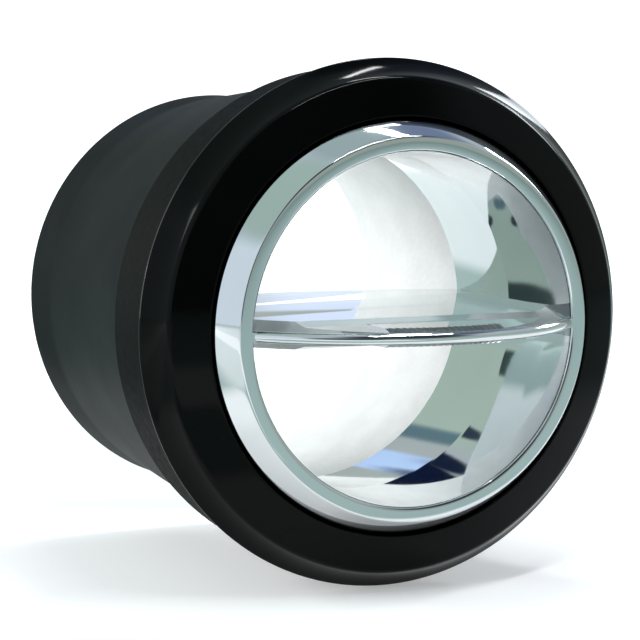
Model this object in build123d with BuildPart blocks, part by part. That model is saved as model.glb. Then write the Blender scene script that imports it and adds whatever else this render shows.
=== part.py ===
from build123d import *
import math
import os

# Round dash air outlet: a plated swivel ball with one vane, in a flanged bezel with a duct sleeve.
# X runs to the right, Y along the duct towards the rear, Z up. The origin is on the duct axis,
# in the rear face of the flange, which seats on the panel.

# Ball: one plated moulding, a zone of a sphere with an hourglass bore
ball_diameter = 80.6
ball_center_y = 9.55
ball_length = 44.8
lip_width = 2.6
tail_width = 1.55
waist_draft = 0.3
lip_round = 0.3
mouth_round = 0.8

# Vane: a plate across the bore, moulded with the ball, bowed at its nose and at its tail
vane_thickness = 5.0
vane_flat = 6.0
vane_lip_thickness = 4.8
vane_tail_thickness = 4.8
vane_tail_round = 0.6
vane_tail_bow = 6.0
vane_tail_tuck = 0.7
vane_root = 0.9
nose_reach = 14.3
bead_radius = 1.0
bead_run_in = 3.0

# Nose, above and below: a bevel from the lip to a hollow floor, and a thumb tab with a ribbed front slope
bevel_length = 3.1
bevel_angle = 14.0
floor_height = 0.75
tab_width = 22.0
tab_sink = 0.55
tab_fall = 0.35
tab_slope_angle = 20.0
tab_slope_sink = 0.2
rib_count = 18
rib_pitch = 1.18
groove_width = 0.75
groove_depth = 0.4

# Bezel: domed flange round the ball's opening, and a collar that passes through the panel
flange_overlap = 2.2
rim_land = 0.5
flank_bulge = 0.35
crest_inset = 3.2
crest_depth = 5.5
crest_round = 1.2
opening_depth = 8.3
opening_round = 0.4
collar_wall = 1.8
collar_length = 16.5
collar_chamfer = 0.5

# Friction ring: felt, between the bezel's shoulder and the end of the sleeve
ring_thickness = 2.25
ring_width = 6.4
ring_front_y = 3.1
ring_gap = 0.25
ring_play = 0.1

# Rear sleeve: its spigot goes into the collar, its tail takes the duct hose
seat_gap = 0.3
spigot_gap = 0.05
sleeve_wall = 1.75
stop_bead_height = 1.3
stop_bead_width = 0.9
hose_diameter = 76.0
hose_land = 11.0
sleeve_end_y = 75.5
sleeve_end_chamfer = 0.7
seat_rib_y = 21.0
seat_rib_width = 4.0

# Duct liner: a foam lining bonded inside the sleeve, behind the seat rib
liner_thickness = 2.2
liner_gap = 0.05
liner_inset = 0.8

ball_radius = ball_diameter / 2
half_length = ball_length / 2
lip_y = ball_center_y - half_length
tail_y = ball_center_y + half_length
lip_radius = math.sqrt(ball_radius**2 - half_length**2)
mouth_radius = lip_radius - lip_width
tail_radius = lip_radius - tail_width
waist_radius = mouth_radius - waist_draft
collar_bore = ball_radius + ring_gap + ring_thickness
collar_radius = collar_bore + collar_wall
flange_radius = collar_radius + flange_overlap
crest_radius = flange_radius - crest_inset
spigot_radius = collar_bore - spigot_gap
spigot_bore = spigot_radius - sleeve_wall
shoulder_y = ring_front_y - ring_play
ring_rear_y = ring_front_y + ring_width
spigot_y = ring_rear_y + ring_play
hose_radius = hose_diameter / 2
cone_y = collar_length + stop_bead_width
land_y = sleeve_end_y - hose_land
cone_slope = (spigot_radius - hose_radius) / (land_y - cone_y)
seat_rib_end = seat_rib_y + seat_rib_width

os.makedirs("parts", exist_ok=True)


def around_ball(y, gap):
    """Radius, at a place along the duct, of a sphere that stands clear of the ball by the gap."""
    return math.sqrt((ball_radius + gap) ** 2 - (y - ball_center_y) ** 2)


def sleeve_inside(y):
    """Inner radius of the sleeve's wall along its cone."""
    return spigot_radius - sleeve_wall - cone_slope * (y - cone_y)


# Bezel: turned section with the domed flange, the ball's front seat, the ring's shoulder and the collar
with BuildPart() as bezel:
    opening_y = -opening_depth
    seat_middle_y = (shoulder_y - opening_depth) / 2
    with BuildSketch(Plane.XY) as bezel_section:
        with BuildLine():
            Polyline(
                (around_ball(shoulder_y, seat_gap), shoulder_y),
                (collar_bore, shoulder_y),
                (collar_bore, collar_length),
                (collar_radius, collar_length),
                (collar_radius, 0),
                (flange_radius, 0),
                (flange_radius, -rim_land),
            )
            SagittaArc((flange_radius, -rim_land), (crest_radius, -crest_depth), -flank_bulge)
            Line((crest_radius, -crest_depth), (around_ball(opening_y, seat_gap), opening_y))
            ThreePointArc(
                (around_ball(opening_y, seat_gap), opening_y),
                (around_ball(seat_middle_y, seat_gap), seat_middle_y),
                (around_ball(shoulder_y, seat_gap), shoulder_y),
            )
        make_face()
        fillet(bezel_section.vertices().sort_by(Axis.Y)[0], opening_round)
        fillet(bezel_section.vertices().sort_by_distance((crest_radius, -crest_depth))[0], crest_round)
        chamfer(bezel_section.vertices().sort_by_distance((collar_radius, collar_length))[0], collar_chamfer)
    revolve(axis=Axis.Y)
bezel.part.label = "bezel"
export_step(bezel.part, "parts/bezel.step")

# Friction ring: outside round in the collar, inside shaped to the ball
with BuildPart() as friction_ring:
    ring_outside = collar_bore - ring_play
    ring_middle_y = ring_front_y + ring_width / 2
    with BuildSketch(Plane.XY):
        with BuildLine():
            Polyline(
                (around_ball(ring_front_y, ring_gap), ring_front_y),
                (ring_outside, ring_front_y),
                (ring_outside, ring_rear_y),
                (around_ball(ring_rear_y, ring_gap), ring_rear_y),
            )
            ThreePointArc(
                (around_ball(ring_rear_y, ring_gap), ring_rear_y),
                (around_ball(ring_middle_y, ring_gap), ring_middle_y),
                (around_ball(ring_front_y, ring_gap), ring_front_y),
            )
        make_face()
    revolve(axis=Axis.Y)
friction_ring.part.label = "friction_ring"
export_step(friction_ring.part, "parts/friction_ring.step")

# Rear sleeve: spigot, stop bead at the seam, cone and hose land; inside, the rib that seats the ball's rear
with BuildPart() as rear_sleeve:
    rib_middle_y = seat_rib_y + seat_rib_width / 2
    with BuildSketch(Plane.XY) as sleeve_section:
        with BuildLine():
            Polyline(
                (around_ball(seat_rib_y, seat_gap), seat_rib_y),
                (spigot_bore, seat_rib_y - (spigot_bore - around_ball(seat_rib_y, seat_gap))),
                (spigot_bore, spigot_y),
                (spigot_radius, spigot_y),
                (spigot_radius, collar_length),
                (spigot_radius + stop_bead_height, collar_length),
                (spigot_radius + stop_bead_height, cone_y),
                (spigot_radius, cone_y),
                (hose_radius, land_y),
                (hose_radius, sleeve_end_y),
                (hose_radius - sleeve_wall, sleeve_end_y),
                (hose_radius - sleeve_wall, land_y),
                (sleeve_inside(seat_rib_end), seat_rib_end),
                (around_ball(seat_rib_end, seat_gap), seat_rib_end),
            )
            ThreePointArc(
                (around_ball(seat_rib_end, seat_gap), seat_rib_end),
                (around_ball(rib_middle_y, seat_gap), rib_middle_y),
                (around_ball(seat_rib_y, seat_gap), seat_rib_y),
            )
        make_face()
        chamfer(sleeve_section.vertices().sort_by_distance((hose_radius, sleeve_end_y))[0], sleeve_end_chamfer)
    revolve(axis=Axis.Y)
rear_sleeve.part.label = "rear_sleeve"
export_step(rear_sleeve.part, "parts/rear_sleeve.step")

# Duct liner: follows the inside of the sleeve from the seat rib to just inside its end
with BuildPart() as duct_liner:
    liner_front_y = seat_rib_end + liner_gap
    liner_rear_y = sleeve_end_y - liner_inset
    liner_shift = liner_gap + liner_thickness
    with BuildSketch(Plane.XY):
        with BuildLine():
            Polyline(
                (sleeve_inside(liner_front_y) - liner_gap, liner_front_y),
                (sleeve_inside(land_y) - liner_gap, land_y),
                (sleeve_inside(land_y) - liner_gap, liner_rear_y),
                (sleeve_inside(land_y) - liner_shift, liner_rear_y),
                (sleeve_inside(land_y) - liner_shift, land_y),
                (sleeve_inside(liner_front_y) - liner_shift, liner_front_y),
                close=True,
            )
        make_face()
    revolve(axis=Axis.Y)
duct_liner.part.label = "duct_liner"
export_step(duct_liner.part, "parts/duct_liner.step")

# Vane: upper half first, drafted both ways from a flat at the mid-plane, bevelled down to its nose
nose_y = lip_y - nose_reach
nose_radius = (mouth_radius**2 + nose_reach**2) / (2 * nose_reach)
nose_center_y = nose_y + nose_radius
nose_axis = Axis((0, nose_center_y, 0), (0, 0, 1))
bead_arc = nose_radius - bead_radius
tip_x = math.sqrt(bead_arc**2 - (nose_center_y - lip_y) ** 2)
vane_reach = mouth_radius + vane_root
vane_end_y = tail_y + vane_tail_bow
lip_height = vane_lip_thickness / 2
bevel_y = lip_y - bevel_length
bevel_height = lip_height - bevel_length * math.tan(math.radians(bevel_angle))
tab_height = lip_height - tab_sink
with BuildPart() as vane:
    with BuildSketch(Plane.YZ):
        with BuildLine():
            Polyline(
                (nose_y, 0),
                (nose_y, floor_height),
                (bevel_y, bevel_height),
                (lip_y, lip_height),
                (ball_center_y - vane_flat / 2, vane_thickness / 2),
                (ball_center_y + vane_flat / 2, vane_thickness / 2),
                (vane_end_y, vane_tail_thickness / 2),
                (vane_end_y, 0),
                close=True,
            )
        make_face()
    extrude(amount=vane_reach, both=True)
    # Thumb tab, raised above the hollow floor
    with BuildSketch(Plane.YZ):
        with BuildLine():
            Polyline(
                (lip_y, 0),
                (nose_y, 0),
                (nose_y, tab_height - tab_fall),
                (lip_y, tab_height),
                close=True,
            )
        make_face()
    extrude(amount=tab_width / 2, both=True)
    # Plan outline: bowed tail, and a bow front that ends at the bead's centre line
    with BuildSketch(Plane.XY):
        with BuildLine():
            tuck_y = tail_y - vane_tail_tuck
            Polyline((-tip_x, lip_y), (-vane_reach, lip_y), (-vane_reach, tuck_y))
            ThreePointArc((-vane_reach, tuck_y), (0, vane_end_y), (vane_reach, tuck_y))
            Polyline((vane_reach, tuck_y), (vane_reach, lip_y), (tip_x, lip_y))
            ThreePointArc((tip_x, lip_y), (0, nose_y + bead_radius), (-tip_x, lip_y))
        make_face()
    extrude(amount=vane_thickness, mode=Mode.INTERSECT)
    tail_face = vane.faces().sort_by_distance((0, vane_end_y, 0))[0]
    fillet(tail_face.edges().sort_by(Axis.Z)[-1], vane_tail_round)
    # Front slope of the tab, down to the bead
    slope_foot = bead_radius - tab_slope_sink
    slope_rise = vane_thickness - slope_foot
    slope_run = slope_rise / math.tan(math.radians(tab_slope_angle))
    with BuildSketch(Plane.XZ.offset(-nose_center_y)):
        with BuildLine():
            Polyline(
                (bead_arc, slope_foot),
                (bead_arc - slope_run, vane_thickness),
                (nose_radius, vane_thickness),
                (nose_radius, slope_foot),
                close=True,
            )
        make_face()
    revolve(axis=nose_axis, mode=Mode.SUBTRACT)
    # Grooves that leave the ribs, cut down the slope across the tab
    for number in range(rib_count):
        groove_x = (number - (rib_count - 1) / 2) * rib_pitch
        groove_end = Plane(
            origin=(groove_x, nose_center_y - math.sqrt(bead_arc**2 - groove_x**2), slope_foot),
            x_dir=(1, 0, 0),
            z_dir=(0, math.cos(math.radians(tab_slope_angle)), math.sin(math.radians(tab_slope_angle))),
        )
        with BuildSketch(groove_end):
            with BuildLine():
                Polyline(
                    (0, groove_depth),
                    (groove_width, -groove_depth),
                    (-groove_width, -groove_depth),
                    close=True,
                )
            make_face()
        extrude(amount=slope_run, mode=Mode.SUBTRACT)
    # The lower half is the same
    mirror(about=Plane.XY)
    # Rounded bead along the whole nose, its ends running into the lip
    bead_turn = math.asin(mouth_radius / nose_radius) + math.radians(bead_run_in)
    bead_start = Plane(
        origin=(0, nose_center_y, 0),
        x_dir=(-math.sin(bead_turn), -math.cos(bead_turn), 0),
        z_dir=(-math.cos(bead_turn), math.sin(bead_turn), 0),
    )
    with BuildSketch(bead_start):
        with Locations((bead_arc, 0)):
            Circle(bead_radius)
    revolve(axis=nose_axis, revolution_arc=math.degrees(2 * bead_turn))

# Louver ball: turned ring with the rounded lip, joined to the vane
with BuildPart() as louver_ball:
    with BuildSketch(Plane.XY) as ball_section:
        with BuildLine():
            ThreePointArc((lip_radius, lip_y), (ball_radius, ball_center_y), (lip_radius, tail_y))
            Polyline(
                (lip_radius, tail_y),
                (tail_radius, tail_y),
                (waist_radius, ball_center_y),
                (mouth_radius, lip_y),
                (lip_radius, lip_y),
            )
        make_face()
        fillet(ball_section.vertices().sort_by_distance((lip_radius, lip_y))[0], lip_round)
        fillet(ball_section.vertices().sort_by_distance((mouth_radius, lip_y))[0], mouth_round)
        fillet(ball_section.vertices().sort_by_distance((lip_radius, tail_y))[0], lip_round)
    revolve(axis=Axis.Y)
    add(vane.part)
louver_ball.part.label = "louver_ball"
export_step(louver_ball.part, "parts/louver_ball.step")
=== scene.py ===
import math

import bpy
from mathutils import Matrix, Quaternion, Vector


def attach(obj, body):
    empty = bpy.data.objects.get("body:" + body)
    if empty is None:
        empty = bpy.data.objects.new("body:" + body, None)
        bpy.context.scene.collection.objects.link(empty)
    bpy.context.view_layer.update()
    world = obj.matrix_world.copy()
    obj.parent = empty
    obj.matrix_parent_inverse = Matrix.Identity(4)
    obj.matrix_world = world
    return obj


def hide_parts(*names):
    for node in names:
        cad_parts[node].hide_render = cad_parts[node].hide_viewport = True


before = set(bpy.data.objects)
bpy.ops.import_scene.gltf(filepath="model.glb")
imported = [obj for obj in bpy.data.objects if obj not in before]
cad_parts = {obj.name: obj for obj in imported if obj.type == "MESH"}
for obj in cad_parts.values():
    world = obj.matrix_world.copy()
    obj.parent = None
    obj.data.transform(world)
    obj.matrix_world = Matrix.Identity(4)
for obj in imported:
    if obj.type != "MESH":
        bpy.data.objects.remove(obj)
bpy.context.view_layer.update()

# Bezel: the gloss black front moulding. A domed flange lies on the panel, its opening is the ball's
# front seat, and a plain collar goes back through the panel hole. Moulded in one piece and turned
# here from its section, drawn in millimetres as radius and place along the duct.
MM = 0.001
BALL_RADIUS = 40.3
BALL_CENTER = 9.55
BALL_HALF_LENGTH = 22.4
SEAT_GAP = 0.3
FLANGE_RADIUS = 46.8
RIM_LAND = 0.5
RIM_REAR_ROUND, RIM_FRONT_ROUND = 0.15, 0.2
FLANK_BOW = -0.35
CREST = (43.6, -5.5)
CREST_ROUND = 0.75
OPENING_FRONT = -8.3
OPENING_ROUND = 0.9
COLLAR_RADIUS = 44.6
COLLAR_BORE = 42.8
COLLAR_END = 16.5
COLLAR_CHAMFER = 0.5
RING_SHOULDER = 3.0
TURN_STEPS = 240
SMOOTH_ANGLE = math.radians(28)
MERGE_DISTANCE = 0.001 * MM


def around_ball(place, gap):
    """Radius of a sphere round the ball, larger by the gap, at a place along the duct."""
    return math.sqrt((BALL_RADIUS + gap) ** 2 - (place - BALL_CENTER) ** 2)


def ball_arc(start, end, gap, count):
    """Points along that sphere from one place on the duct to another, even in angle."""
    reach = BALL_RADIUS + gap
    first = math.asin((start - BALL_CENTER) / reach)
    last = math.asin((end - BALL_CENTER) / reach)
    angles = [first + (last - first) * step / count for step in range(count + 1)]
    return [(reach * math.cos(angle), BALL_CENTER + reach * math.sin(angle)) for angle in angles]


def bowed(start, end, bow, count):
    """Points from start to end along a shallow curve that stands off the straight line by the bow."""
    run, rise = end[0] - start[0], end[1] - start[1]
    length = math.hypot(run, rise)
    points = []
    for step in range(count + 1):
        share = step / count
        off = 4 * bow * share * (1 - share)
        across = start[0] + run * share - rise / length * off
        along = start[1] + rise * share + run / length * off
        points.append((across, along))
    return points


def draw_outline(name, points, across=(1, 0, 0), along=(0, 1, 0)):
    """Start a piece as one point and extrude it into a closed outline; leaves edit mode on."""
    across, along = Vector(across), Vector(along)
    places = [(across * point[0] + along * point[1]) * MM for point in points]
    bpy.ops.object.select_all(action="DESELECT")
    bpy.ops.mesh.primitive_plane_add(size=MM)
    piece = bpy.context.object
    piece.name = piece.data.name = name
    bpy.ops.object.mode_set(mode="EDIT")
    bpy.ops.mesh.select_all(action="SELECT")
    bpy.ops.mesh.merge(type="CENTER")
    bpy.ops.transform.translate(value=places[0])
    for last, place in zip(places, places[1:] + places[:1]):
        bpy.ops.mesh.extrude_region_move(TRANSFORM_OT_translate={"value": place - last})
    bpy.ops.mesh.select_all(action="SELECT")
    bpy.ops.mesh.remove_doubles(threshold=MERGE_DISTANCE)
    return piece


def turn_outline(piece):
    """Spin the outline once round the duct axis and close it into a smooth shaded solid."""
    bpy.ops.mesh.select_all(action="SELECT")
    bpy.ops.mesh.spin(steps=TURN_STEPS, angle=math.tau, center=(0, 0, 0), axis=(0, 1, 0))
    bpy.ops.mesh.select_all(action="SELECT")
    bpy.ops.mesh.remove_doubles(threshold=MERGE_DISTANCE)
    bpy.ops.mesh.normals_make_consistent(inside=False)
    bpy.ops.object.mode_set(mode="OBJECT")
    bpy.ops.object.shade_smooth_by_angle(angle=SMOOTH_ANGLE)
    return piece


def rounded(corner, before, after, reach, count):
    """Points of a small arc that rounds a corner of an outline, starting the reach before it."""
    corner = Vector(corner)
    start = corner + (Vector(before) - corner).normalized() * reach
    end = corner + (Vector(after) - corner).normalized() * reach
    points = []
    for step in range(count + 1):
        share = step / count
        points.append(tuple(start * (1 - share) ** 2 + corner * 2 * share * (1 - share) + end * share**2))
    return points


def start_material(name):
    """A new material; returns it with its node tree, its shader and the piece's own coordinates."""
    material = bpy.data.materials.new(name)
    material.use_nodes = True
    tree = material.node_tree
    shader = tree.nodes["Principled BSDF"]
    place = tree.nodes.new("ShaderNodeTexCoord")
    return material, tree, shader, place.outputs["Object"]


def noise(tree, place, scale, detail=3.0, roughness=0.5):
    """A noise texture on the piece's own coordinates; returns its value."""
    texture = tree.nodes.new("ShaderNodeTexNoise")
    texture.inputs["Scale"].default_value = scale
    texture.inputs["Detail"].default_value = detail
    texture.inputs["Roughness"].default_value = roughness
    tree.links.new(place, texture.inputs["Vector"])
    return texture.outputs["Fac"]


def spread(tree, value, low, high, start=0.3, end=0.7):
    """Spread a texture value over a range from low to high."""
    node = tree.nodes.new("ShaderNodeMapRange")
    node.inputs["From Min"].default_value = start
    node.inputs["From Max"].default_value = end
    node.inputs["To Min"].default_value = low
    node.inputs["To Max"].default_value = high
    tree.links.new(value, node.inputs["Value"])
    return node.outputs["Result"]


def tint(tree, value, low, high):
    """Colour that goes from low to high with a texture value."""
    ramp = tree.nodes.new("ShaderNodeValToRGB")
    ramp.color_ramp.elements[0].position = 0.35
    ramp.color_ramp.elements[0].color = (*low, 1)
    ramp.color_ramp.elements[1].position = 0.65
    ramp.color_ramp.elements[1].color = (*high, 1)
    tree.links.new(value, ramp.inputs["Fac"])
    return ramp.outputs["Color"]


def bump(tree, shader, height, strength, distance):
    """Raise the surface by a texture value."""
    node = tree.nodes.new("ShaderNodeBump")
    node.inputs["Strength"].default_value = strength
    node.inputs["Distance"].default_value = distance
    tree.links.new(height, node.inputs["Height"])
    tree.links.new(node.outputs["Normal"], shader.inputs["Normal"])


def dress(piece, material, node, body):
    """Give a piece its material, put it in place of its solid and let it move with its body."""
    piece.data.materials.clear()
    piece.data.materials.append(material)
    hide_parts(node)
    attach(piece, body)


opening_tip = (around_ball(OPENING_FRONT, SEAT_GAP), OPENING_FRONT)
seat_points = ball_arc(OPENING_FRONT, RING_SHOULDER, SEAT_GAP, 16)
flank = bowed((FLANGE_RADIUS, -RIM_LAND), CREST, FLANK_BOW, 8)
bezel_outline = [
    (COLLAR_BORE, RING_SHOULDER),
    (COLLAR_BORE, COLLAR_END),
    (COLLAR_RADIUS - COLLAR_CHAMFER, COLLAR_END),
    (COLLAR_RADIUS, COLLAR_END - COLLAR_CHAMFER),
    (COLLAR_RADIUS, 0),
    *rounded((FLANGE_RADIUS, 0), (COLLAR_RADIUS, 0), (FLANGE_RADIUS, -RIM_LAND), RIM_REAR_ROUND, 3),
    *rounded((FLANGE_RADIUS, -RIM_LAND), (FLANGE_RADIUS, 0), flank[1], RIM_FRONT_ROUND, 3),
    *flank[1:-1],
    *rounded(CREST, flank[-2], opening_tip, CREST_ROUND, 8),
    *rounded(opening_tip, CREST, seat_points[2], OPENING_ROUND, 8),
    *seat_points[2:],
]
bezel = turn_outline(draw_outline("bezel_moulding", bezel_outline))

gloss_black, tree, shader, place = start_material("gloss_black_plastic")
tree.links.new(
    tint(tree, noise(tree, place, 38), (0.0016, 0.0021, 0.0019), (0.0026, 0.0032, 0.0030)),
    shader.inputs["Base Color"],
)
parts = tree.nodes.new("ShaderNodeSeparateXYZ")
tree.links.new(place, parts.inputs[0])
collar = spread(tree, parts.outputs["Y"], 0, 1, -0.0002, 0.0003)
sheen = tree.nodes.new("ShaderNodeMix")
tree.links.new(collar, sheen.inputs["Factor"])
tree.links.new(spread(tree, noise(tree, place, 90, 4), 0.07, 0.12), sheen.inputs["A"])
tree.links.new(spread(tree, noise(tree, place, 700, 4), 0.42, 0.52), sheen.inputs["B"])
tree.links.new(sheen.outputs["Result"], shader.inputs["Roughness"])
tree.links.new(spread(tree, collar, 0.085, 0.025, 0, 1), shader.inputs["Specular IOR Level"])
bump(tree, shader, noise(tree, place, 420, 2), 0.03, 0.0002)
dress(bezel, gloss_black, "bezel", "housing")

# Friction ring: a band of dense grey felt that lies in the collar against the bezel's shoulder and
# grips the ball, so that it stays where it is pointed. Cut from sheet and formed to the ball.
RING_FRONT, RING_REAR = 3.1, 9.5
RING_GAP = 0.25
RING_RADIUS = 42.7
ring_outline = [
    (RING_RADIUS, RING_FRONT),
    (RING_RADIUS, RING_REAR),
    *ball_arc(RING_REAR, RING_FRONT, RING_GAP, 8),
]
ring = turn_outline(draw_outline("felt_ring", ring_outline))

felt, tree, shader, place = start_material("grey_felt")
shader.inputs["Roughness"].default_value = 0.95
shader.inputs["Sheen Weight"].default_value = 0.4
fibres = noise(tree, place, 1800, 8, 0.7)
tree.links.new(tint(tree, fibres, (0.05, 0.05, 0.05), (0.14, 0.14, 0.135)), shader.inputs["Base Color"])
bump(tree, shader, fibres, 0.6, 0.0003)
dress(ring, felt, "friction_ring", "seat_ring")

# Louver ball: a bright-plated moulding, a zone of a sphere with a bore that narrows to its middle.
# The vane across the bore is part of it: drafted both ways from the middle, with a bowed nose that
# ends in a round bead, hollows at its sides and a ribbed thumb tab above and below.
LIP, TAIL = BALL_CENTER - BALL_HALF_LENGTH, BALL_CENTER + BALL_HALF_LENGTH
LIP_RADIUS = around_ball(LIP, 0)
LIP_WIDTH, TAIL_WIDTH, WAIST_DRAFT = 2.6, 1.55, 0.3
MOUTH_RADIUS = LIP_RADIUS - LIP_WIDTH
TAIL_RADIUS = LIP_RADIUS - TAIL_WIDTH
WAIST_RADIUS = MOUTH_RADIUS - WAIST_DRAFT
EDGE_ROUND, WAIST_ROUND, MOUTH_ROUND = 0.25, 0.6, 0.8
sphere_points = ball_arc(LIP, TAIL, 0, 72)
ball_outline = [
    *rounded((LIP_RADIUS, LIP), (MOUTH_RADIUS, LIP), sphere_points[1], EDGE_ROUND, 5),
    *sphere_points[1:-1],
    *rounded((LIP_RADIUS, TAIL), sphere_points[-2], (TAIL_RADIUS, TAIL), EDGE_ROUND, 5),
    (TAIL_RADIUS, TAIL),
    *rounded((WAIST_RADIUS, BALL_CENTER), (TAIL_RADIUS, TAIL), (MOUTH_RADIUS, LIP), WAIST_ROUND, 6),
    *rounded((MOUTH_RADIUS, LIP), (WAIST_RADIUS, BALL_CENTER), (LIP_RADIUS, LIP), MOUTH_ROUND, 6),
]
ball = turn_outline(draw_outline("plated_ball", ball_outline))

VANE_SINK = 0.9
VANE_ROOT = MOUTH_RADIUS + VANE_SINK
VANE_MIDDLE, VANE_LIP, VANE_TAIL = 2.5, 2.4, 2.4
VANE_FLAT = 3.0
TAIL_BOW, TAIL_TUCK, TAIL_ROUND = 6.0, 0.7, 0.6
TAIL_STEPS, BEAD_STEPS = 64, 24
NOSE_REACH = 14.3
NOSE = LIP - NOSE_REACH
NOSE_RADIUS = (MOUTH_RADIUS**2 + NOSE_REACH**2) / (2 * NOSE_REACH)
NOSE_CENTER = NOSE + NOSE_RADIUS
BEAD_RADIUS = 1.0
BEAD_ARC = NOSE_RADIUS - BEAD_RADIUS
BEAD_RUN_IN = math.radians(3)
BEVEL_LENGTH, BEVEL_ANGLE = 3.1, math.radians(14)
BEVEL = (LIP - BEVEL_LENGTH, VANE_LIP - BEVEL_LENGTH * math.tan(BEVEL_ANGLE))
FLOOR_HEIGHT = 0.75
TAB_HALF, TAB_FOOT = 11.0, 0.3
TAB_REAR_SINK, TAB_FRONT_SINK = 0.55, 0.9
TAB_REAR, TAB_FRONT = VANE_LIP - TAB_REAR_SINK, VANE_LIP - TAB_FRONT_SINK
TAB_SLOPE, SLOPE_TURN = math.radians(20), math.radians(75)
SLOPE_SINK = 0.2
SLOPE_FOOT, SLOPE_TOP = BEAD_RADIUS - SLOPE_SINK, 5
CUT_SPARE, TRIM_HALF = 1, 4
RIBS, RIB_PITCH, GROOVE_WIDTH, GROOVE_DEPTH = 18, 1.18, 0.75, 0.4
CRISP_ANGLE = math.radians(1.3)


def nose_arc(radius, half_turn, count):
    """Points on an arc round the nose's centre, from right to left, in plan."""
    angles = [half_turn - 2 * half_turn * step / count for step in range(count + 1)]
    return [(radius * math.sin(angle), NOSE_CENTER - radius * math.cos(angle)) for angle in angles]


def thicken(offset):
    """Fill the drawn outline and extrude it by the offset into a closed solid."""
    bpy.ops.mesh.select_all(action="SELECT")
    bpy.ops.mesh.edge_face_add()
    bpy.ops.mesh.extrude_region_move(TRANSFORM_OT_translate={"value": Vector(offset) * MM})
    bpy.ops.mesh.select_all(action="SELECT")
    bpy.ops.mesh.normals_make_consistent(inside=False)
    bpy.ops.object.mode_set(mode="OBJECT")


def apply_modifier(piece, modifier):
    """Apply a modifier to its piece, which is left selected and active."""
    bpy.ops.object.select_all(action="DESELECT")
    bpy.context.view_layer.objects.active = piece
    piece.select_set(True)
    bpy.ops.object.modifier_apply(modifier=modifier.name)


def combine(piece, tool, operation):
    """Join or cut a piece with a tool shape, which is used up."""
    cut = piece.modifiers.new(operation.lower(), "BOOLEAN")
    cut.operation = operation
    cut.solver = "EXACT"
    cut.object = tool
    apply_modifier(piece, cut)
    bpy.data.objects.remove(tool, do_unlink=True)


def turn_about_nose(name, points, half_turn, steps):
    """Spin a closed outline of radius and height round the nose's upright axis, from left to right."""
    middle = (0, NOSE_CENTER * MM, 0)
    start = (-math.sin(half_turn), -math.cos(half_turn), 0)
    piece = draw_outline(name, points, across=start, along=(0, 0, 1))
    bpy.ops.mesh.edge_face_add()
    bpy.ops.transform.translate(value=middle)
    bpy.ops.mesh.spin(steps=steps, angle=-2 * half_turn, center=middle, axis=(0, 0, 1))
    bpy.ops.mesh.select_all(action="SELECT")
    bpy.ops.mesh.remove_doubles(threshold=MERGE_DISTANCE)
    bpy.ops.mesh.normals_make_consistent(inside=False)
    bpy.ops.object.mode_set(mode="OBJECT")
    return piece


# Upper half of the vane: its section with the raised tab, trimmed to the plan that is bowed both ways
vane_end = TAIL + TAIL_BOW
upper = [
    (NOSE, 0),
    (NOSE, FLOOR_HEIGHT),
    BEVEL,
    (LIP, VANE_LIP),
    (BALL_CENTER - VANE_FLAT, VANE_MIDDLE),
    (BALL_CENTER + VANE_FLAT, VANE_MIDDLE),
    (vane_end, VANE_TAIL),
    (vane_end, 0),
]
vane = draw_outline("vane", upper, across=(0, 1, 0), along=(0, 0, 1))
bpy.ops.transform.translate(value=(-VANE_ROOT * MM, 0, 0))
thicken((2 * VANE_ROOT, 0, 0))
tab_section = [(LIP, TAB_FOOT), (NOSE, TAB_FOOT), (NOSE, TAB_FRONT), (LIP, TAB_REAR)]
tab = draw_outline("tab", tab_section, across=(0, 1, 0), along=(0, 0, 1))
bpy.ops.transform.translate(value=(-TAB_HALF * MM, 0, 0))
thicken((2 * TAB_HALF, 0, 0))
combine(vane, tab, "UNION")
tip = math.sqrt(BEAD_ARC**2 - (NOSE_CENTER - LIP) ** 2)
tail_depth = TAIL_BOW + TAIL_TUCK
tail_radius = (VANE_ROOT**2 + tail_depth**2) / (2 * tail_depth)
tail_turn = math.asin(VANE_ROOT / tail_radius)
plan = nose_arc(BEAD_ARC, math.asin(tip / BEAD_ARC), 96)
plan += [(-VANE_ROOT, LIP)]
for step in range(TAIL_STEPS + 1):
    angle = -tail_turn + 2 * tail_turn * step / TAIL_STEPS
    plan.append((tail_radius * math.sin(angle), vane_end - tail_radius * (1 - math.cos(angle))))
plan += [(VANE_ROOT, LIP)]
trim = draw_outline("vane_plan", plan)
bpy.ops.transform.translate(value=(0, 0, -TRIM_HALF * MM))
thicken((0, 0, 2 * TRIM_HALF))
combine(vane, trim, "INTERSECT")


def on_tail(place):
    """Whether a place, in millimetres, lies on the upper edge of the bowed tail."""
    off = math.hypot(place.x, place.y - vane_end + tail_radius) - tail_radius
    return place.z > 1 and place.y > TAIL - 2 and abs(off) < 0.01


# Its tail edge is rounded
bpy.ops.object.mode_set(mode="EDIT")
bpy.ops.mesh.select_mode(type="EDGE")
bpy.ops.mesh.select_all(action="DESELECT")
bpy.ops.object.mode_set(mode="OBJECT")
for edge in vane.data.edges:
    ends = [vane.data.vertices[corner].co / MM for corner in edge.vertices]
    edge.select = all(on_tail(end) for end in ends)
bpy.ops.object.mode_set(mode="EDIT")
bpy.ops.mesh.bevel(offset=TAIL_ROUND * MM, segments=4)
bpy.ops.mesh.select_mode(type="VERT")
bpy.ops.object.mode_set(mode="OBJECT")

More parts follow.
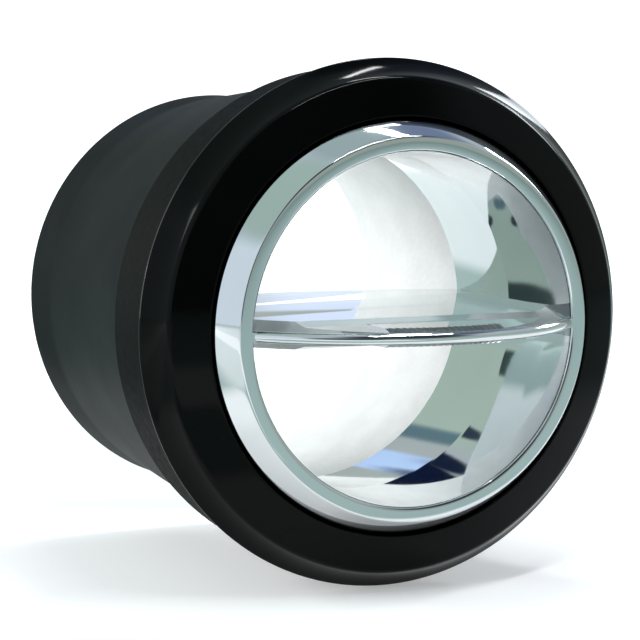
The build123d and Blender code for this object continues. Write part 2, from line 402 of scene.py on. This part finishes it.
# Front slope of the tab, and the grooves down it that leave the ribs
slope_run = (SLOPE_TOP - SLOPE_FOOT) / math.tan(TAB_SLOPE)
slope = [
    (BEAD_ARC, SLOPE_FOOT),
    (BEAD_ARC - slope_run, SLOPE_TOP),
    (NOSE_RADIUS + CUT_SPARE, SLOPE_TOP),
    (NOSE_RADIUS + CUT_SPARE, SLOPE_FOOT),
]
combine(vane, turn_about_nose("slope_cut", slope, SLOPE_TURN, 150), "DIFFERENCE")
groove_reach, groove_top = 0.75 * GROOVE_WIDTH, 0.5 * GROOVE_DEPTH
groove = [(0, -GROOVE_DEPTH), (groove_reach, groove_top), (-groove_reach, groove_top)]
grooves = []
for number in range(RIBS):
    x = (number - (RIBS - 1) / 2) * RIB_PITCH
    y = NOSE_CENTER - math.sqrt(BEAD_ARC**2 - x**2)
    up_slope = (0, -math.sin(TAB_SLOPE), math.cos(TAB_SLOPE))
    grooves.append(draw_outline("groove_cut", groove, across=(1, 0, 0), along=up_slope))
    bpy.ops.transform.translate(value=Vector((x, y, SLOPE_FOOT)) * MM)
    thicken((0, slope_run * math.cos(TAB_SLOPE), slope_run * math.sin(TAB_SLOPE)))
bpy.ops.object.select_all(action="DESELECT")
for cutter in grooves:
    cutter.select_set(True)
bpy.context.view_layer.objects.active = grooves[0]
bpy.ops.object.join()
combine(vane, grooves[0], "DIFFERENCE")

# The lower half is its mirror image; the open middle is taken out first
bpy.ops.object.mode_set(mode="EDIT")
bpy.ops.mesh.select_mode(type="FACE")
bpy.ops.mesh.select_all(action="DESELECT")
bpy.ops.object.mode_set(mode="OBJECT")
for face in vane.data.polygons:
    face.select = all(abs(vane.data.vertices[corner].co.z) < 1e-7 for corner in face.vertices)
bpy.ops.object.mode_set(mode="EDIT")
bpy.ops.mesh.delete(type="FACE")
bpy.ops.mesh.select_mode(type="VERT")
bpy.ops.object.mode_set(mode="OBJECT")
lower_half = vane.modifiers.new("lower_half", "MIRROR")
lower_half.use_axis = (False, False, True)
lower_half.merge_threshold = MERGE_DISTANCE
apply_modifier(vane, lower_half)

# Bead along the nose, whose ends run into the lip; then the vane is joined to the ball
bead_section = []
for step in range(BEAD_STEPS):
    angle = math.tau * step / BEAD_STEPS
    bead_section.append((BEAD_ARC + BEAD_RADIUS * math.cos(angle), BEAD_RADIUS * math.sin(angle)))
bead_turn = math.asin(MOUTH_RADIUS / NOSE_RADIUS) + BEAD_RUN_IN
combine(vane, turn_about_nose("nose_bead", bead_section, bead_turn, 128), "UNION")
combine(ball, vane, "UNION")


def on_bead(place):
    """Whether a place, in millimetres, lies on the nose's bead."""
    off = math.hypot(place.x, place.y - NOSE_CENTER) - BEAD_ARC
    return abs(math.hypot(off, place.z) - BEAD_RADIUS) < 0.05


def in_vane(place):
    """Whether a place, in millimetres, lies on the vane, inside the bore."""
    return math.hypot(place.x, place.z) < WAIST_RADIUS and abs(place.z) < VANE_MIDDLE + 0.1


# The flats of the vane keep crisp edges, the turned faces and the bead shade smoothly
bpy.ops.object.shade_smooth_by_angle(angle=SMOOTH_ANGLE)
normals = {}
for face in ball.data.polygons:
    for key in face.edge_keys:
        normals.setdefault(key, []).append(face.normal)
for edge in ball.data.edges:
    ends = [ball.data.vertices[corner].co / MM for corner in edge.vertices]
    flat = all(in_vane(end) for end in ends) and not all(on_bead(end) for end in ends)
    sides = normals[edge.key]
    if flat and len(sides) == 2 and sides[0].angle(sides[1], 0) > CRISP_ANGLE:
        edge.use_edge_sharp = True

plating, tree, shader, place = start_material("bright_plating")
shader.inputs["Metallic"].default_value = 1.0
tree.links.new(
    tint(tree, noise(tree, place, 25), (0.62, 0.65, 0.665), (0.69, 0.715, 0.725)),
    shader.inputs["Base Color"],
)
tree.links.new(spread(tree, noise(tree, place, 60, 5), 0.03, 0.07), shader.inputs["Roughness"])
bump(tree, shader, noise(tree, place, 120, 2), 0.03, 0.0003)
dress(ball, plating, "louver_ball", "ball")

# Rear sleeve: the satin black duct moulding. Its spigot is pushed into the collar up to a thin stop
# bead at the seam, it tapers to a straight end for the hose, and a rib inside seats the ball's rear.
SPIGOT_RADIUS = 42.75
SPIGOT_FRONT = 9.6
SLEEVE_WALL = 1.75
STOP_BEAD_RADIUS, STOP_BEAD_WIDTH, STOP_BEAD_EDGE = 44.05, 0.9, 0.2
SEAM_ROUND, LAND_ROUND, END_CHAMFER = 0.3, 1.5, 0.7
HOSE_RADIUS = 38.0
HOSE_LAND = 64.5
SLEEVE_END = 75.5
RIB_FRONT, RIB_REAR = 21.0, 25.0
cone_start = COLLAR_END + STOP_BEAD_WIDTH
cone_slope = (SPIGOT_RADIUS - HOSE_RADIUS) / (HOSE_LAND - cone_start)


def sleeve_inside(y):
    """Radius of the sleeve's inner wall along its cone."""
    return SPIGOT_RADIUS - SLEEVE_WALL - cone_slope * (y - cone_start)


spigot_bore = SPIGOT_RADIUS - SLEEVE_WALL
rib_front_radius = around_ball(RIB_FRONT, SEAT_GAP)
cone_front, cone_rear = (SPIGOT_RADIUS, cone_start), (HOSE_RADIUS, HOSE_LAND)
sleeve_outline = [
    (spigot_bore, SPIGOT_FRONT),
    (SPIGOT_RADIUS, SPIGOT_FRONT),
    (SPIGOT_RADIUS, COLLAR_END),
    (STOP_BEAD_RADIUS - STOP_BEAD_EDGE, COLLAR_END),
    (STOP_BEAD_RADIUS, COLLAR_END + STOP_BEAD_EDGE),
    (STOP_BEAD_RADIUS, cone_start - STOP_BEAD_EDGE),
    (STOP_BEAD_RADIUS - STOP_BEAD_EDGE, cone_start),
    *rounded(cone_front, (STOP_BEAD_RADIUS, cone_start), cone_rear, SEAM_ROUND, 3),
    *rounded(cone_rear, cone_front, (HOSE_RADIUS, SLEEVE_END), LAND_ROUND, 4),
    (HOSE_RADIUS, SLEEVE_END - END_CHAMFER),
    (HOSE_RADIUS - END_CHAMFER, SLEEVE_END),
    (HOSE_RADIUS - SLEEVE_WALL, SLEEVE_END),
    (HOSE_RADIUS - SLEEVE_WALL, HOSE_LAND),
    (sleeve_inside(RIB_REAR), RIB_REAR),
    *ball_arc(RIB_REAR, RIB_FRONT, SEAT_GAP, 6),
    (spigot_bore, RIB_FRONT - (spigot_bore - rib_front_radius)),
]
sleeve = turn_outline(draw_outline("sleeve_moulding", sleeve_outline))

satin_black, tree, shader, place = start_material("satin_black_plastic")
shader.inputs["Specular IOR Level"].default_value = 0.02
tree.links.new(
    tint(tree, noise(tree, place, 55), (0.0060, 0.0078, 0.0078), (0.0088, 0.0110, 0.0110)),
    shader.inputs["Base Color"],
)
tree.links.new(spread(tree, noise(tree, place, 40, 4), 0.42, 0.5), shader.inputs["Roughness"])
bump(tree, shader, noise(tree, place, 2200, 3), 0.12, 0.0001)
dress(sleeve, satin_black, "rear_sleeve", "housing")

# Duct liner: a white closed-cell foam lining bonded inside the sleeve behind the ball's rear seat.
# Die-cut from sheet, rolled and glued in, so its surface shows fine cells.
LINER_THICKNESS = 2.2
LINER_GAP = 0.05
LINER_INSET = 0.8
LINER_END = SLEEVE_END - LINER_INSET
liner_front = RIB_REAR + LINER_GAP
liner_outline = [
    (sleeve_inside(liner_front) - LINER_GAP, liner_front),
    (sleeve_inside(HOSE_LAND) - LINER_GAP, HOSE_LAND),
    (sleeve_inside(HOSE_LAND) - LINER_GAP, LINER_END),
    (sleeve_inside(HOSE_LAND) - LINER_GAP - LINER_THICKNESS, LINER_END),
    (sleeve_inside(HOSE_LAND) - LINER_GAP - LINER_THICKNESS, HOSE_LAND),
    (sleeve_inside(liner_front) - LINER_GAP - LINER_THICKNESS, liner_front),
]
liner = turn_outline(draw_outline("foam_liner", liner_outline))

foam, tree, shader, place = start_material("white_foam")
shader.inputs["Roughness"].default_value = 0.9
cells = tree.nodes.new("ShaderNodeTexVoronoi")
cells.inputs["Scale"].default_value = 900
tree.links.new(place, cells.inputs["Vector"])
tree.links.new(
    tint(tree, noise(tree, place, 120, 5), (0.86, 0.86, 0.85), (0.93, 0.93, 0.925)),
    shader.inputs["Base Color"],
)
bump(tree, shader, cells.outputs["Distance"], 0.25, 0.0002)
dress(liner, foam, "duct_liner", "housing")

# Stage: a pale grey-green floor that sweeps up behind, with a strip of white paper under the object
# along the line of sight and pale cards round it, which the plating mirrors. Soft lamps, a plain
# studio with panels and the camera stand round it.
FLOOR = -FLANGE_RADIUS * MM
FLOOR_SIZE = 4.4
SWEEP = (0, 0.05, 0.25)
SAGE, WHITE = (0.31, 0.39, 0.37, 1), (0.84, 0.84, 0.84, 1)
SIGHT = Vector((0.436, 0.900, 0.0))
ACROSS = Vector((0.900, -0.436, 0.0))
bpy.ops.object.select_all(action="DESELECT")
bpy.ops.mesh.primitive_plane_add(size=FLOOR_SIZE, location=(0, 0, 0))
floor = bpy.context.object
floor.name = "floor"
bpy.ops.object.mode_set(mode="EDIT")
bpy.ops.transform.translate(value=(0, 0, FLOOR))
bpy.ops.mesh.select_all(action="DESELECT")
bpy.ops.object.mode_set(mode="OBJECT")
for vertex in floor.data.vertices:
    vertex.select = vertex.co.y > 2
bpy.ops.object.mode_set(mode="EDIT")
bpy.ops.mesh.extrude_region_move(TRANSFORM_OT_translate={"value": SWEEP})
bpy.ops.object.mode_set(mode="OBJECT")
pale, tree, shader, place = start_material("pale_floor")
shader.inputs["Roughness"].default_value = 0.9
shader.inputs["Specular IOR Level"].default_value = 0.0


def floor_share(direction, start, end, full=1.0):
    """Share that goes from full to zero with the distance from the object in a direction."""
    dot = tree.nodes.new("ShaderNodeVectorMath")
    dot.operation = "DOT_PRODUCT"
    dot.inputs[1].default_value = direction
    tree.links.new(place, dot.inputs[0])
    edge = tree.nodes.new("ShaderNodeMapRange")
    edge.interpolation_type = "SMOOTHSTEP"
    edge.inputs["From Min"].default_value = start
    edge.inputs["From Max"].default_value = end
    edge.inputs["To Min"].default_value = full
    edge.inputs["To Max"].default_value = 0
    tree.links.new(dot.outputs["Value"], edge.inputs["Value"])
    return edge.outputs["Result"]


def joined(operation, first, second):
    """Two values joined by a sum, product or the like."""
    node = tree.nodes.new("ShaderNodeMath")
    node.operation = operation
    tree.links.new(first, node.inputs[0])
    tree.links.new(second, node.inputs[1])
    return node.outputs[0]


# Paper under the object, wider towards the rear, and white cards at its left and in front of it
flare = 0.1 * SIGHT
paper_right = floor_share(ACROSS - flare, 0.10, 0.20)
paper_left = floor_share(-ACROSS - flare, 0.085, 0.12)
paper = joined("MULTIPLY", paper_right, paper_left)
paper = joined("MULTIPLY", paper, floor_share(-SIGHT, 0.047, 0.057))
side_card = joined("MULTIPLY", floor_share(ACROSS, -0.10, -0.07, 0.62), floor_share(SIGHT, -0.06, -0.03))
front_card = joined("MULTIPLY", floor_share(ACROSS, 0.08, 0.095), floor_share(SIGHT, -0.125, -0.11))
front_card = joined("MULTIPLY", front_card, floor_share(-SIGHT, 0.2, 0.24))
paper = joined("MAXIMUM", paper, joined("MAXIMUM", side_card, front_card))
# A light grey card on the paper, behind the object
rear_card = joined("MULTIPLY", floor_share(SIGHT, 0.21, 0.25), floor_share(-SIGHT, -0.09, -0.07))
rear_card = joined("MULTIPLY", rear_card, floor_share(ACROSS, -0.02, 0.005))
rear_card = joined("MULTIPLY", rear_card, floor_share(-ACROSS, 0.12, 0.15))
paper = joined("MULTIPLY", paper, spread(tree, rear_card, 1.0, 0.6, 0, 1))
colour = tree.nodes.new("ShaderNodeMix")
colour.data_type = "RGBA"
colour.inputs["A"].default_value = SAGE
colour.inputs["B"].default_value = WHITE
tree.links.new(paper, colour.inputs["Factor"])
tree.links.new(colour.outputs["Result"], shader.inputs["Base Color"])
tree.links.new(colour.outputs["Result"], shader.inputs["Emission Color"])
path = tree.nodes.new("ShaderNodeLightPath")
seen = joined("MAXIMUM", path.outputs["Is Camera Ray"], path.outputs["Is Glossy Ray"])
seen = joined("MAXIMUM", seen, path.outputs["Is Transmission Ray"])
far = spread(tree, floor_share(SIGHT, 0.4, 1.5), 1.2, 0.4, 0, 1)
tree.links.new(joined("MULTIPLY", seen, far), shader.inputs["Emission Strength"])
floor.data.materials.append(pale)

world = bpy.data.worlds.new("studio")
bpy.context.scene.world = world
world.use_nodes = True
tree = world.node_tree
background = tree.nodes["Background"]
direction = tree.nodes.new("ShaderNodeTexCoord").outputs["Generated"]
split = tree.nodes.new("ShaderNodeSeparateXYZ")
tree.links.new(direction, split.inputs[0])
height = tree.nodes.new("ShaderNodeValToRGB")
height.color_ramp.elements[0].position = 0.0
height.color_ramp.elements[0].color = (0.30, 0.34, 0.32, 1)
height.color_ramp.elements[1].position = 1.0
height.color_ramp.elements[1].color = (0.62, 0.70, 0.80, 1)
middle = height.color_ramp.elements.new(0.5)
middle.color = (0.42, 0.48, 0.43, 1)
level = tree.nodes.new("ShaderNodeMapRange")
level.inputs["From Min"].default_value = -1
tree.links.new(split.outputs["Z"], level.inputs["Value"])
tree.links.new(level.outputs["Result"], height.inputs["Fac"])
surroundings = height.outputs["Color"]


def studio_patch(below, towards, wide, soft, colour):
    """A soft-edged panel of the studio, seen in one direction, over what lies below it."""
    dot = tree.nodes.new("ShaderNodeVectorMath")
    dot.operation = "DOT_PRODUCT"
    dot.inputs[1].default_value = Vector(towards).normalized()
    tree.links.new(direction, dot.inputs[0])
    edge = tree.nodes.new("ShaderNodeMapRange")
    edge.interpolation_type = "SMOOTHSTEP"
    edge.inputs["From Min"].default_value = math.cos(math.radians(wide + soft))
    edge.inputs["From Max"].default_value = math.cos(math.radians(wide))
    tree.links.new(dot.outputs["Value"], edge.inputs["Value"])
    mix = tree.nodes.new("ShaderNodeMix")
    mix.data_type = "RGBA"
    tree.links.new(edge.outputs["Result"], mix.inputs["Factor"])
    tree.links.new(below, mix.inputs["A"])
    mix.inputs["B"].default_value = (*colour, 1)
    return mix.outputs["Result"]


# Each panel's direction, its half width and soft edge in degrees, and its colour
for towards, wide, soft, shade in [
    ((-1, -0.1, 0.05), 30, 14, (0.86, 0.97, 1.07)),
    ((-0.52, 0.05, 0.85), 16, 12, (0.48, 0.63, 0.58)),
    ((0.1, -0.75, 0.62), 20, 18, (0.04, 0.05, 0.06)),
    ((-0.45, -0.88, 0.1), 14, 10, (0.05, 0.06, 0.06)),
    ((0.15, 0.28, 0.95), 14, 8, (0.44, 0.56, 0.57)),
    ((0.55, 0.25, 0.8), 10, 10, (0.22, 0.28, 0.42)),
    ((0.38, -0.15, 0.91), 14, 10, (0.10, 0.14, 0.22)),
    ((-0.3, 0.89, 0.3), 16, 6, (0.50, 0.64, 0.56)),
    ((-0.5, 0.85, 0.2), 3.5, 2, (0.05, 0.08, 0.08)),
    ((-0.145, 0.865, 0.481), 1.5, 1.5, (0.04, 0.06, 0.09)),
    ((0, 0.917, 0.398), 1, 2.5, (0.14, 0.24, 0.28)),
    ((0.23, 0.914, 0.335), 4, 2, (0.60, 0.82, 1.2)),
    ((0.215, 0.865, 0.453), 4.5, 1.5, (0.006, 0.012, 0.04)),
    ((0.33, 0.87, 0.365), 4, 1.5, (0.006, 0.012, 0.04)),
    ((0.084, 0.864, 0.497), 2.5, 1.5, (0.01, 0.02, 0.05)),
    ((0.455, 0.884, 0.1), 1.5, 2, (0.80, 0.92, 1.15)),
]:
    surroundings = studio_patch(surroundings, towards, wide, soft, shade)
tree.links.new(surroundings, background.inputs["Color"])
background.inputs["Strength"].default_value = 1.0


def soft_lamp(name, place, size, watts, colour=(1, 1, 1)):
    """An area lamp at a place, turned to the object, in metres."""
    bpy.ops.object.light_add(type="AREA", location=place)
    lamp = bpy.context.object
    lamp.name = name
    lamp.data.shape = "RECTANGLE"
    lamp.data.size, lamp.data.size_y = size
    lamp.data.energy = watts
    lamp.data.color = colour
    lamp.rotation_euler = (-Vector(place)).to_track_quat("-Z", "Y").to_euler()


soft_lamp("overhead_strip", (0.22, -0.30, 1.05), (0.8, 0.035), 4.5)
soft_lamp("top_box", (0.34, 0.34, 1.0), (0.25, 0.07), 2.2)
soft_lamp("right_window", (0.95, 0.42, 0.5), (0.6, 0.2), 4, (0.86, 0.93, 1.0))
soft_lamp("rear_box", (-1.05, 0.8, 0.55), (0.7, 0.7), 11)
soft_lamp("duct_lamp", (-0.95, 0.75, 0.12), (0.3, 0.3), 4.5)

VIEW_FROM = Vector((-255.06, -501.05, 56.84)) * MM
VIEW_TO = Vector((-7.9, 9.4, 0.0)) * MM
VIEW_ROLL = 0.35
LENS, SENSOR = 180, 36
bpy.ops.object.camera_add(location=VIEW_FROM)
camera = bpy.context.object
camera.data.lens = LENS
camera.data.sensor_width = SENSOR
camera.data.clip_start, camera.data.clip_end = 0.01, 20
camera.rotation_mode = "QUATERNION"
aim = (VIEW_TO - VIEW_FROM).to_track_quat("-Z", "Y")
camera.rotation_quaternion = aim @ Quaternion((0, 0, 1), math.radians(VIEW_ROLL))
bpy.context.scene.camera = camera
bpy.context.scene.view_settings.view_transform = "Standard"
